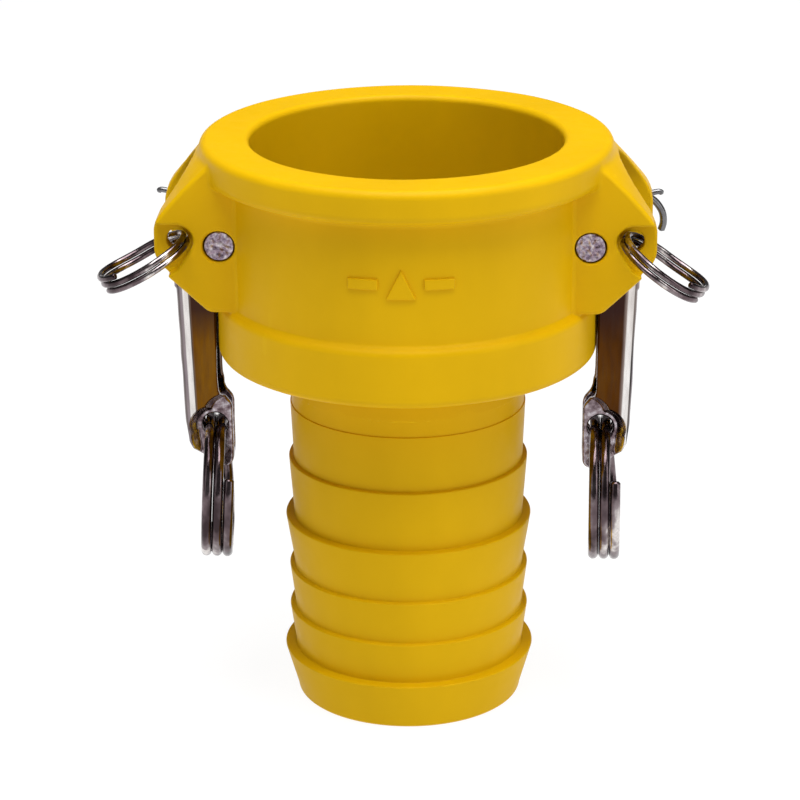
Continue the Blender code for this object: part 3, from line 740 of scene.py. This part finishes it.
def mark_piece():
    """Raised marks on the front of the wall: a triangle between two bars."""
    base_z = MARK_Z - MARK_HALF
    triangle = outline_field([(-MARK_HALF, base_z), (MARK_HALF, base_z), (0, MARK_Z + MARK_HALF)], 3)

    def field(x, y, z):
        across = np.arctan2(x, -y) * WALL_R
        out = np.hypot(x, y)
        bars = np.maximum(np.abs(np.abs(across) - BAR_OFFSET) - BAR_HALF[0],
                          np.abs(z - MARK_Z) - BAR_HALF[1])
        flat = np.minimum(triangle(across, z), bars)
        raised = round_max(flat, out - WALL_R - MARK_RISE, MARK_RISE / 2)
        return round_max(raised, WALL_R - 0.5 - out, 0.1)

    reach = BAR_OFFSET + BAR_HALF[0] + 1.5
    return surface_net(field, (-reach, -WALL_R - 1.5, MARK_Z - 4), (reach, -WALL_R + 3, MARK_Z + 4), 0.16)


coupler = "coupler"
verts, quads, normals = surface_net(head_field(), (-52, -43.4, HEAD_BOTTOM_Z - 1.2),
                                    (52, 43.4, TOP_Z + 1.2), 0.45)
add_piece("coupler_head", verts, quads, nylon, coupler, "coupler_body", normals)

verts, faces = turned(shank_profile(), 240)
shank = add_piece("hose_shank", verts, faces, nylon, coupler, "coupler_body")
sharp_where_bent(shank, 50)

verts, quads, normals = mark_piece()
add_piece("raised_marks", verts, quads, nylon, coupler, "coupler_body", normals)


def gasket_piece():
    low, high = box_mm("gasket")
    outer, inner = high[0], GASKET_INNER_R
    z0, z1 = low[2], high[2]
    edge = GASKET_EDGE
    profile = arc((outer - edge, z1 - edge), edge, 90, 0, 6)
    profile += arc((outer - edge, z0 + edge), edge, 0, -90, 6)
    profile += arc((inner + edge, z0 + edge), edge, 270, 180, 6)
    profile += arc((inner + edge, z1 - edge), edge, 180, 90, 6)
    for r in GROOVE_RADII:
        profile += [(r - 0.5, z1), (r - 0.2, z1 - GROOVE_DEPTH),
                    (r + 0.2, z1 - GROOVE_DEPTH), (r + 0.5, z1)]
    return turned(profile, 180)


verts, faces = gasket_piece()
sharp_where_bent(add_piece("gasket_ring", verts, faces, rubber, coupler, "gasket"))


# ---------------------------------------------------------------- arms

def handle_outline():
    x, z = ARM_BACK_X, TIP_Z
    back = [(x, ARM_TOP_Z), (x - 0.15, 86.0), (x - 0.8, 70.0), (x - 1.2, z + 1.4),
            (x - 1.75, z - 3.1), (x - 2.6, z - 4.9), (x - 3.9, z - 6.3), (x - 5.5, z - 7.5),
            (x - 7.6, z - 8.6)]
    tip = arc((TIP_X - 2.0, z - 7.5), 1.7, 270, 180, 6)
    inner = arc((TIP_X - 1.2, z + 3.6), 2.5, 180, 135, 6)
    inner += [(ARM_INNER_X - 0.6, z + 7.0), (ARM_INNER_X - 0.1, z + 8.6),
              (ARM_INNER_X, z + 10.5), (ARM_INNER_X, ARM_TOP_Z)]
    return back + tip + inner


def hollow_outline():
    x, z = ARM_BACK_X - ARM_WALL, TIP_Z
    open_x = ARM_INNER_X - 9
    return [(open_x, HOLLOW_TOP_Z), (x, HOLLOW_TOP_Z), (x - 0.15, 86.0), (x - 0.8, 70.0),
            (x - 1.2, z + 1.4), (x - 1.75, z - 3.1), (x - 2.8, z - 4.6), (x - 4.8, z - 6.0),
            (open_x, z - 6.9)]


def cam_outline():
    x, z = PIVOT_X, PIVOT_Z
    points = arc((x - CAM_REACH + CAM_NOSE_R, z - 1.0), CAM_NOSE_R, 245, 105, 16)
    points += arc((x, z), HEAD_R, 100, 45, 6)
    return points + [(x + 6.6, z + 0.8), (x + 8.4, z - 3.0), (x + 9.6, z - 6.2),
                     (ARM_BACK_X, z - 9.5), (ARM_BACK_X, z - 11.5), (x + 2.2, z - 11.5),
                     (x + 1.6, z - 10.2)]


def arm_field(side):
    """A cast arm, built for +X and mirrored for the left."""
    handle = outline_field(handle_outline())
    hollow = outline_field(hollow_outline())
    cam = outline_field(cam_outline())
    uneven = waves(11 + side, 9.0)

    def field(x, y, z):
        x = side * x
        ay = np.abs(y)
        # the cheeks are pressed together round the ring's holes, down to the tip
        # and up the inner edge
        near = 1e9
        for end_x, end_z in (PRESSED_DOWN, PRESSED_UP):
            t = np.clip((z - TIP_Z) / end_z, 0, 1)
            near = np.minimum(near, np.hypot(x - TIP_X - t * end_x, z - TIP_Z - t * end_z))
        full, none = PRESSED_R
        pressed = ay + DISH_DEPTH * smoothstep((none - near) / (none - full))
        bend = 0.45 + 1.45 * smoothstep((x - 41.8) / 2.5)
        shell = round_max(handle(x, z), pressed - ARM_HALF, bend)
        shell = cut(shell, round_max(hollow(x, z), pressed - ARM_HALF + ARM_WALL, 0.7), 0.35)
        head = round_max(cam(x, z), ay - HEAD_HALF, 0.9)
        solid = round_min(shell, head, 1.2)
        solid = cut(solid, np.hypot(x - PIVOT_X, z - PIVOT_Z) - ARM_BORE_R, 0.4)
        solid = cut(solid, np.hypot(x - TIP_X, z - TIP_Z) - TIP_HOLE_R, 0.4)
        return solid + UNEVEN_ARM * uneven(x, y, z)
    return field


def arm_piece(side, hand):
    low, high = box_mm(f"cam_arm_{hand}")
    verts, quads, normals = surface_net(arm_field(side), low - 1.0, high + 1.0,
                                        0.28)
    add_piece(f"cast_arm_{hand}", verts, quads, cast_steel[hand], f"cam_arm_{hand}",
              f"cam_arm_{hand}", normals)


# ---------------------------------------------------------------- small parts

def pin_piece(side, hand):
    """Pivot pin whose sheared ends are torn and a little domed."""
    low, high = box_mm(f"pivot_pin_{hand}")
    half, radius = high[1], (high[2] - low[2]) / 2
    rough = waves(21 + side, 1.1, 20)
    steps = 64
    rings = [(radius * k / 9, 0.0) for k in range(1, 9)] + [(radius - 0.12, 0.0), (radius, 0.3)]
    verts, faces = [], []
    for end in (-1, 1):
        first = len(verts)
        for r, back in rings:
            for s in range(steps):
                a = 2 * pi * s / steps
                x, z = r * cos(a), r * sin(a)
                torn = 0.16 * float(rough(x, end * 3.0, z)) if r < radius - 0.2 else 0.0
                y = end * (half - 0.22 - back + torn * min(1, (radius - r) / 0.6))
                verts.append((side * PIVOT_X + x, y, PIVOT_Z + z))
        verts.append((side * PIVOT_X, end * (half - 0.2), PIVOT_Z))
        for ring in range(len(rings) - 1):
            for s in range(steps):
                t = (s + 1) % steps
                quad = (first + ring * steps + s, first + ring * steps + t,
                        first + (ring + 1) * steps + t, first + (ring + 1) * steps + s)
                faces.append(quad if end > 0 else quad[::-1])
        centre = first + len(rings) * steps
        for s in range(steps):
            tri = (centre, first + s, first + (s + 1) % steps)
            faces.append(tri[::-1] if end > 0 else tri)
    block = len(rings) * steps + 1
    rim_a, rim_b = (len(rings) - 1) * steps, block + (len(rings) - 1) * steps
    for s in range(steps):
        t = (s + 1) % steps
        faces.append((rim_a + s, rim_a + t, rim_b + t, rim_b + s))
    obj = add_piece(f"hinge_pin_{hand}", verts, faces, pin_steel, coupler,
                    f"pivot_pin_{hand}")
    sharp_where_bent(obj, 50)


def split_ring_path(size, turn, jog, step=3.0):
    """Centre line of a split ring in the YZ plane, 0 degrees at its lowest."""
    mean_r, _, pitch = size
    path = []
    for i in range(int((turn[1] - turn[0]) / step) + 1):
        angle = turn[0] + step * i
        lane = sum(float(smoothstep((angle - jog[0] - 360.0 * k) / jog[1])) for k in range(3))
        a = radians(angle)
        path.append((pitch * (1.5 - lane), mean_r * sin(a), -mean_r * cos(a)))
    return path


def pull_ring_piece(side, hand):
    mean_r, wire_r, _ = PULL_RING
    cheek_y = ARM_HALF - ARM_WALL / 2 - DISH_DEPTH
    drop = sqrt(mean_r ** 2 - cheek_y ** 2) + PULL_RING_REST * (TIP_HOLE_R - wire_r)
    tilt = Matrix.Rotation(radians(-side * PULL_RING_TILT[hand]), 3, "Y")
    turn = Matrix.Rotation(radians(PULL_RING_YAW[hand]), 3, "Z") @ tilt
    hole = Vector((side * TIP_X, 0, TIP_Z))
    path = [hole + turn @ Vector((x, y, z - drop))
            for x, y, z in split_ring_path(PULL_RING, PULL_RING_TURN, PULL_RING_JOG)]
    verts, faces = swept(path, wire_r)
    obj = add_piece(f"split_ring_{hand}", verts, faces, ring_steel, f"pull_ring_{hand}",
                    f"pull_ring_{hand}")
    sharp_where_bent(obj, 60)


def safety_ring_piece(side, hand):
    mean_r, wire_r, _ = SAFETY_RING
    lug_middle_y = -(NOTCH_FLOOR_Y + SLOT_HALF) / 2
    reach = sqrt(mean_r ** 2 - (lug_middle_y - SAFETY_RING_Y) ** 2) - SAFETY_RING_SHIFT
    tilt = Matrix.Rotation(radians(SAFETY_RING_TILT[hand]), 3, "Y")
    path = []
    for across, y, z in split_ring_path(SAFETY_RING, SAFETY_RING_TURN, SAFETY_RING_JOG):
        x, _, z = tilt @ Vector((reach - z, 0, across))
        path.append((side * (HOLE_X + x), y + SAFETY_RING_Y, HOLE_Z + z))
    verts, faces = swept(path, wire_r, 14)
    obj = add_piece(f"small_ring_{hand}", verts, faces, ring_steel, f"safety_ring_{hand}",
                    f"safety_ring_{hand}")
    sharp_where_bent(obj, 60)


def smooth_path(points, step=0.25):
    """A Catmull-Rom curve through the points."""
    pts = [Vector(p) for p in points]
    pts = [pts[0] * 2 - pts[1]] + pts + [pts[-1] * 2 - pts[-2]]
    path = []
    for a, b, c, d in zip(pts, pts[1:], pts[2:], pts[3:]):
        count = max(2, int((c - b).length / step))
        for i in range(count):
            t = i / count
            path.append(0.5 * (b * 2 + (c - a) * t + (a * 2 - b * 5 + c * 4 - d) * t ** 2
                               + (b * 3 - a - c * 3 + d) * t ** 3))
    return path + [pts[-2]]


def cotter_piece(side, hand):
    """A cotter pin, really one half-round wire, made as three round wires: the short
    leg, the long leg and the head between them, with the legs spread behind the lug."""
    head_y = COTTER_HEAD_Y
    bend = COTTER_BEND_Y
    short_leg = [(2.0, bend + 0.1, 0.6), (4.6, bend + 0.2, 1.2), (6.4, bend + 0.3, 1.5),
                 (7.1, bend + 0.4, 1.0)]
    long_leg = [(2.6, bend + 0.3, 0.7), (5.2, bend + 0.6, -0.4), (7.0, bend + 0.8, -2.8),
                (7.4, bend + 0.9, -5.2), (6.9, bend + 0.9, -7.2)]
    turn = Matrix.Rotation(radians(LONG_LEG_TURN[hand]), 3, "Y")
    long_leg = [tuple(turn @ Vector(p)) for p in long_leg]
    head = [(x + 0.9, head_y, z) for x, z in arc((0, 0), COTTER_HEAD_R, 160, -160, 11)]
    wires = [(smooth_path([(-0.1, head_y + 0.9, 0.55), (0, bend - 1.6, 0.55), (0.5, bend - 0.3, 0.6)]
                          + short_leg), 0.60),
             (smooth_path([(-0.1, head_y + 0.9, -0.55), (0, bend - 1.6, -0.55),
                           (0.6, bend - 0.2, -0.3)] + long_leg), 0.78),
             (smooth_path([(-0.1, head_y + 1.1, 0.55)] + head + [(-0.1, head_y + 1.1, -0.55)]), 0.62)]
    for i, (path, radius) in enumerate(wires):
        path = [(side * (HOLE_X + p[0]), p[1], HOLE_Z + p[2]) for p in path]
        verts, faces = swept(path, radius, 14, 0.5)
        obj = add_piece(f"cotter_wire_{hand}_{i}", verts, faces, cotter_steel, coupler,
                        f"cotter_pin_{hand}")
        sharp_where_bent(obj, 60)


for side, hand in SIDES:
    arm_piece(side, hand)
    pin_piece(side, hand)
    pull_ring_piece(side, hand)
    safety_ring_piece(side, hand)
    cotter_piece(side, hand)


# ---------------------------------------------------------------- studio
# Metres from here on

CAMERA_LENS = 146.2
CAMERA_PLACE = (0.0211, -0.6384, 0.29375)
CAMERA_WAY = (-0.0335, 0.9405, -0.3382)
CAMERA_ROLL = -0.33
FLOOR_HALF = 30.0
MIDDLE = (0, 0, 0.07)


def add_floor():
    """A white light table, which leaves hardly any shadow."""
    size = FLOOR_HALF
    mesh = bpy.data.meshes.new("floor")
    mesh.from_pydata([(-size, -size, 0), (size, -size, 0), (size, size, 0), (-size, size, 0)], [],
                     [(0, 1, 2, 3)])
    floor = bpy.data.objects.new("floor", mesh)
    floor.location.z = BODY_LOW[2] * MM - 0.0002
    bpy.context.scene.collection.objects.link(floor)
    mat, nodes, links, shader = new_material("light_table", (0.12, 0.12, 0.12), 0.9, 0.0)
    shader.inputs["Specular IOR Level"].default_value = 0.0
    shader.inputs["Emission Color"].default_value = (1, 1, 1, 1)
    shader.inputs["Emission Strength"].default_value = 0.93
    mesh.materials.append(mat)


def add_light(name, place, size, power):
    """A soft area light that points at the middle of the object."""
    light = bpy.data.lights.new(name, "AREA")
    light.shape = "RECTANGLE"
    light.size, light.size_y = size
    light.energy = power
    obj = bpy.data.objects.new(name, light)
    obj.location = place
    way = Vector(MIDDLE) - Vector(place)
    obj.rotation_mode = "QUATERNION"
    obj.rotation_quaternion = way.to_track_quat("-Z", "Y")
    bpy.context.scene.collection.objects.link(obj)


def add_camera():
    """A long lens at about 0.7 m, looking down by 20 degrees, a little rolled."""
    camera = bpy.data.cameras.new("camera")
    camera.sensor_width = 36.0
    camera.lens = CAMERA_LENS
    camera.clip_start, camera.clip_end = 0.05, 20
    obj = bpy.data.objects.new("camera", camera)
    way = Vector(CAMERA_WAY).normalized()
    turn = way.to_track_quat("-Z", "Y").to_matrix() @ Matrix.Rotation(radians(CAMERA_ROLL), 3, "Z")
    obj.matrix_world = Matrix.Translation(CAMERA_PLACE) @ turn.to_4x4()
    bpy.context.scene.collection.objects.link(obj)
    bpy.context.scene.camera = obj


def add_world(strength):
    world = bpy.data.worlds.new("studio")
    world.use_nodes = True
    background = world.node_tree.nodes["Background"]
    background.inputs["Color"].default_value = (1, 1, 1, 1)
    background.inputs["Strength"].default_value = strength
    bpy.context.scene.world = world


bpy.context.scene.view_settings.view_transform = "Standard"
add_floor()
add_camera()
add_world(0.12)
add_light("top_softbox", (0.05, -0.15, 0.95), (0.8, 0.8), 12.0)
add_light("left_softbox", (-0.75, -0.55, 0.50), (0.5, 0.8), 0.7)
add_light("right_softbox", (0.85, -0.45, 0.45), (0.4, 0.8), 2.2)
